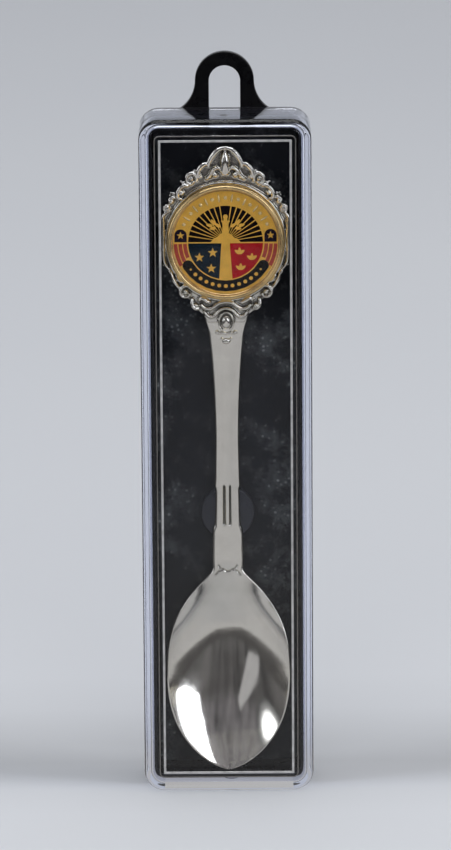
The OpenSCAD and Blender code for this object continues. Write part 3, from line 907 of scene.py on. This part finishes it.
def build_finial(metal):
    soup = Soup()
    head_plate(soup)
    for points, radius in SCROLLS:
        soup.add(head_tube(points, radius * 1.3))
        soup.add(head_tube(mirrored(points), radius * 1.3))
    for points, radius in WAVES:
        both = [(-x, h) for x, h in reversed(points)] + points[1:]
        soup.add(head_tube(both, radius * 1.15, taper=False))
    for x, height, r in BEADS:
        for side in (-1, 1):
            soup.add(ball(head_point(side * x, height, 0.5 * r), (r * 1.1, r * 1.3, r * 1.1)))
    crest_leaf(soup)
    oval_jewel(soup)
    ring_r = CUP_R + 0.28
    collar = [(*head_point(ring_r * math.cos(a), ring_r * math.sin(a), 0.12), 0.3)
              for a in [2 * math.pi * i / 96 for i in range(97)]]
    soup.add(tube(collar, 8, 1.0))
    rough = mesh_from("finial_shells", soup.verts, soup.faces, smooth=False)
    remesh = rough.modifiers.new("fuse", "REMESH")
    remesh.mode = "VOXEL"
    remesh.voxel_size = 0.1 * MM
    soften = rough.modifiers.new("soften", "SMOOTH")
    soften.factor = 0.5
    soften.iterations = 2
    thin = rough.modifiers.new("thin", "DECIMATE")
    thin.ratio = 0.35
    bpy.context.view_layer.update()
    mesh = bpy.data.meshes.new_from_object(rough.evaluated_get(bpy.context.evaluated_depsgraph_get()))
    bpy.data.objects.remove(rough)
    mesh.shade_smooth()
    finial = bpy.data.objects.new("spoon_finial", mesh)
    bpy.context.scene.collection.objects.link(finial)
    return finish_piece(finial, "spoon", metal)


# ---------------------------------------------------------------- the medallion


def build_cup(gold):
    """The gilt cup: floor, wall and a rolled rim with a thin inner thread."""
    back, front = CUP_HI.y, CUP_LO.y
    r = CUP_R
    rim = [(r - 0.43 + 0.43 * math.cos(math.radians(a)), front + 0.43 - 0.43 * math.sin(math.radians(a)))
           for a in range(0, 181, 15)]
    inner = [(r - 0.88, front + 0.62), (r - 0.98, front + 0.6), (r - 1.08, front + 0.68),
             (r - 1.1, front + 0.85)]
    profile = [(0, back), (r - 0.3, back), (r, back - 0.2)] + rim + inner + [(r - 1.1, EMBLEM_FACE_Y + 0.02)]
    profile += [(0, EMBLEM_FACE_Y + 0.02)]
    cup = turned("cup_and_rim", profile, (0, 0, MEDAL_Z), 128)
    return finish_piece(cup, "spoon", gold, ["medallion_cup"])


def build_band_relief(gold):
    """Raised beads and bars round the gilt band, in place of the band's lettering."""
    soup = Soup()
    band_r = 8.5
    for i in range(17):
        a = math.radians(24 + 132 * i / 16)
        x, z = band_r * math.cos(a), MEDAL_Z + band_r * math.sin(a)
        if i % 2 == 0:
            soup.add(ball((x, EMBLEM_FACE_Y, z), (0.36, 0.14, 0.36), 6, 14))
        else:
            ends = [((band_r + d) * math.cos(a), EMBLEM_FACE_Y, MEDAL_Z + (band_r + d) * math.sin(a), w)
                    for d, w in ((-0.75, 0.1), (-0.3, 0.2), (0.3, 0.2), (0.75, 0.1))]
            soup.add(tube(ends, 8, 0.7))
    relief = mesh_from("emblem_band_relief", soup.verts, soup.faces, sharp_deg=0)
    return finish_piece(relief, "spoon", gold)


# ---------------------------------------------------------------- stage, lights, camera


def hide_from(obj, *rays):
    for ray in rays:
        setattr(obj, "visible_" + ray, False)


def plane(name, x0, x1, y0, y1, z, material):
    mesh = bpy.data.meshes.new(name)
    mesh.from_pydata([(x0, y0, z), (x1, y0, z), (x1, y1, z), (x0, y1, z)], [], [(0, 1, 2, 3)])
    obj = bpy.data.objects.new(name, mesh)
    bpy.context.scene.collection.objects.link(obj)
    obj.data.materials.append(material)
    return obj


def build_stage():
    plane("stage_floor", -4, 4, -4, 4, 0, floor_material())


def glow_material(name, colour, strength, soft):
    """Light cards: even, or fading out from the middle."""
    mat, nodes, links, _ = new_material(name)
    glow = nodes.new("ShaderNodeEmission")
    glow.inputs["Color"].default_value = (*colour, 1)
    glow.inputs["Strength"].default_value = strength
    if soft:
        vec = object_coords(nodes, links, 1.0)
        ball_fade = nodes.new("ShaderNodeTexGradient")
        ball_fade.gradient_type = "SPHERICAL"
        links.new(vec, ball_fade.inputs["Vector"])
        power = nodes.new("ShaderNodeMath")
        power.operation = "MULTIPLY"
        power.inputs[1].default_value = strength
        shaped = ramp(nodes, links, ball_fade.outputs["Fac"], soft)
        links.new(shaped, power.inputs[0])
        links.new(power.outputs[0], glow.inputs["Strength"])
    links.new(glow.outputs[0], nodes["Material Output"].inputs["Surface"])
    return mat


def direction(azimuth, elevation):
    a, e = math.radians(azimuth), math.radians(elevation)
    return Vector((math.sin(a) * math.cos(e), -math.cos(a) * math.cos(e), math.sin(e)))


def light_card(name, corners, material, distance=2.2):
    """A card in the room, seen only in reflections, with corners at (azimuth, elevation) from the bowl."""
    centre = Vector((0, 0, 0.02))
    points = [centre + direction(a, e) * distance for a, e in corners]
    middle = sum(points, Vector()) / len(points)
    size = max((p - middle).length for p in points)
    mesh = bpy.data.meshes.new(name)
    mesh.from_pydata([(p - middle) / size for p in points] + [(0, 0, 0)], [],
                     [(i, (i + 1) % len(points), len(points)) for i in range(len(points))])
    obj = bpy.data.objects.new(name, mesh)
    bpy.context.scene.collection.objects.link(obj)
    obj.location = middle
    obj.scale = (size, size, size)
    obj.data.materials.append(material)
    hide_from(obj, "camera", "diffuse", "shadow")


WINDOW_CARD = [(50, 1), (43, 3), (30, 10), (24, 21), (20.5, 32), (23, 39), (29, 37.5), (33.5, 33),
               (40, 25), (45, 12)]
LAMP_CARD = [(-40 + 12 * math.cos(math.radians(a)), 19 + 10 * math.sin(math.radians(a)))
             for a in range(0, 360, 20)]
STREAK_CARD = [(-38, -0.5), (-33, 4.6), (-24, 11), (-12, 18.4), (-10.4, 14.5), (-17, 8), (-26, 1)]


def area_light(name, where, aim, size, power, colour):
    data = bpy.data.lights.new(name, "AREA")
    data.shape = "RECTANGLE"
    data.size, data.size_y = size
    data.energy = power
    data.color = colour
    obj = bpy.data.objects.new(name, data)
    bpy.context.scene.collection.objects.link(obj)
    obj.location = where
    obj.rotation_euler = (Vector(aim) - Vector(where)).to_track_quat("-Z", "Y").to_euler()
    hide_from(obj, "glossy", "transmission")
    return obj


def build_lights():
    area_light("key_right", (1.35, -0.2, 0.66), (0, 0, 0.03), (0.5, 0.5), 13.5, (1.0, 0.985, 0.96))
    area_light("key_left", (-1.35, -0.22, 0.66), (0, 0, 0.03), (0.5, 0.5), 10, (0.97, 0.985, 1.0))
    area_light("overhead", (0, 0.7, 1.8), (0, 0.5, 0), (2.2, 1.8), 5, (0.98, 0.985, 1.0))
    area_light("front_fill", (0, -1.8, 1.2), (0, 0, 0.08), (1.6, 1.0), 9.5, (1, 0.99, 0.97))
    light_card("card_window", WINDOW_CARD, glow_material("glow_window", (1, 1, 1), 4.5, None))
    light_card("card_lamp", LAMP_CARD, glow_material("glow_lamp", (1, 0.99, 0.95), 3.0,
                                                     [(0.0, grey(0)), (0.35, grey(0.12)), (0.62, grey(1))]))
    light_card("card_left", [(-58, -6), (-100, -6), (-100, 45), (-66, 45), (-58, 20)],
               glow_material("glow_left", (1, 0.99, 0.97), 1.2, None))
    light_card("card_right", [(68, 0), (105, 0), (105, 50), (68, 50)],
               glow_material("glow_right", (0.97, 0.99, 1), 1.1, None))
    light_card("card_ceiling", [(-50, 52), (50, 52), (130, 60), (180, 62), (-130, 60)],
               glow_material("glow_ceiling", (1, 1, 1), 2.8, None))
    light_card("card_streak", STREAK_CARD, glow_material("glow_streak", (1, 0.97, 0.93), 0.5, None))


def build_world():
    """Pale studio behind the object; a dim room in front of it, seen only in reflections."""
    world = bpy.data.worlds.new("studio")
    world.use_nodes = True
    nodes, links = world.node_tree.nodes, world.node_tree.links
    nodes.clear()
    coords = nodes.new("ShaderNodeTexCoord")
    split = nodes.new("ShaderNodeSeparateXYZ")
    links.new(coords.outputs["Generated"], split.inputs[0])
    up = nodes.new("ShaderNodeMapRange")
    up.inputs["From Min"].default_value = -0.2
    up.inputs["From Max"].default_value = 0.8
    links.new(split.outputs["Z"], up.inputs["Value"])
    room = ramp(nodes, links, up.outputs["Result"], [
        (0.0, (0.1, 0.095, 0.09)), (0.2, (0.09, 0.085, 0.08)), (0.4, (0.06, 0.055, 0.052)),
        (0.5, (0.13, 0.12, 0.12)), (1.0, (0.2, 0.185, 0.185))])
    stretch = nodes.new("ShaderNodeMapping")
    stretch.inputs["Scale"].default_value = (7, 7, 1.2)
    links.new(coords.outputs["Generated"], stretch.inputs["Vector"])
    streaks = ramp(nodes, links, noise(nodes, links, stretch.outputs["Vector"], 1.0, 3),
                   [(0.35, grey(0.35)), (0.65, grey(1.6))])
    room_mix = nodes.new("ShaderNodeMix")
    room_mix.data_type = "RGBA"
    room_mix.blend_type = "MULTIPLY"
    room_mix.inputs["Factor"].default_value = 1
    links.new(room, room_mix.inputs["A"])
    links.new(streaks, room_mix.inputs["B"])
    behind = nodes.new("ShaderNodeMapRange")
    behind.inputs["From Min"].default_value = -0.15
    behind.inputs["From Max"].default_value = 0.25
    links.new(split.outputs["Y"], behind.inputs["Value"])
    around = nodes.new("ShaderNodeMix")
    around.data_type = "RGBA"
    links.new(behind.outputs["Result"], around.inputs["Factor"])
    links.new(room_mix.outputs["Result"], around.inputs["A"])
    around.inputs["B"].default_value = (0.5, 0.52, 0.56, 1)
    path = nodes.new("ShaderNodeLightPath")
    seen = nodes.new("ShaderNodeMix")
    seen.data_type = "RGBA"
    links.new(path.outputs["Is Glossy Ray"], seen.inputs["Factor"])
    seen.inputs["A"].default_value = (0.34, 0.345, 0.36, 1)
    links.new(around.outputs["Result"], seen.inputs["B"])
    back = nodes.new("ShaderNodeBackground")
    out = nodes.new("ShaderNodeOutputWorld")
    links.new(seen.outputs["Result"], back.inputs["Color"])
    links.new(back.outputs[0], out.inputs["Surface"])
    bpy.context.scene.world = world


def build_camera():
    """The photograph's view: 14 degrees above the horizon, far back with a long lens."""
    aim = Vector((-0.24, FRONT, 71.7)) * MM
    distance, elevation, roll = 1.087, math.radians(14), 0.007
    forward = Vector((0, math.cos(elevation), -math.sin(elevation)))
    up = Vector((0, math.sin(elevation), math.cos(elevation)))
    right = Vector((1, 0, 0))
    right, up = right * math.cos(roll) - up * math.sin(roll), up * math.cos(roll) + right * math.sin(roll)
    data = bpy.data.cameras.new("camera")
    data.sensor_width = 36
    data.lens = 36 * 5825 / 850
    data.clip_start, data.clip_end = 0.05, 20
    camera = bpy.data.objects.new("camera", data)
    bpy.context.scene.collection.objects.link(camera)
    camera.matrix_world = Matrix((
        (right.x, up.x, -forward.x, (aim - forward * distance).x),
        (right.y, up.y, -forward.y, (aim - forward * distance).y),
        (right.z, up.z, -forward.z, (aim - forward * distance).z),
        (0, 0, 0, 1)))
    bpy.context.scene.camera = camera


def paint_nodes(materials):
    """Better materials for the CAD nodes that stay."""
    for node, material in materials.items():
        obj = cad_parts[node]
        obj.data.materials.clear()
        obj.data.materials.append(material)


def main():
    bpy.context.scene.view_settings.view_transform = "Standard"
    build_camera()
    build_world()
    build_lights()
    build_stage()
    lid_plastic = clear_plastic()
    build_lid(lid_plastic)
    frame_strip("lid_line_inner", 3.66, 0.42, 0.045, frosted_line("line_silver", (0.62, 0.62, 0.63), 0.35))
    frame_strip("lid_line_outer", 2.86, 0.2, 0.045, frosted_line("line_dim", (0.2, 0.19, 0.185), 0.35))
    build_lid_marks(lid_plastic)
    tray_black = black_plastic()
    build_tray(tray_black)
    build_post(foam(), tacky())
    metal = silver(recess=0.5)
    build_spoon_loft(metal)
    build_finial(silver("silver_ornament", recess=0.75))
    build_cup(gilt("gilt_rim", (1.0, 0.7, 0.29), 0.12, 0.85))
    relief_gold = gilt("gilt_emblem", (1.0, 0.57, 0.08), 0.28, 0.25)
    build_band_relief(gilt("gilt_band_relief", (1.0, 0.75, 0.32), 0.2, 0.4))
    paint_nodes({
        "backing_card": dusty_card(),
        "medallion_adhesive": tacky(),
        "emblem_plate": relief_gold,
        "enamel_night_fan": enamel("enamel_fan", (0.006, 0.002, 0.003)),
        "enamel_blue_field": enamel("enamel_blue", (0.003, 0.014, 0.024)),
        "enamel_red_field": enamel("enamel_red", (0.46, 0.004, 0.008)),
        "enamel_side_bands": enamel("enamel_salmon", (0.5, 0.075, 0.05)),
        "enamel_roundels": enamel("enamel_violet", (0.018, 0.01, 0.022)),
        "enamel_ribbon": enamel("enamel_olive", (0.008, 0.006, 0.003)),
        "epoxy_dome": epoxy(),
    })


main()
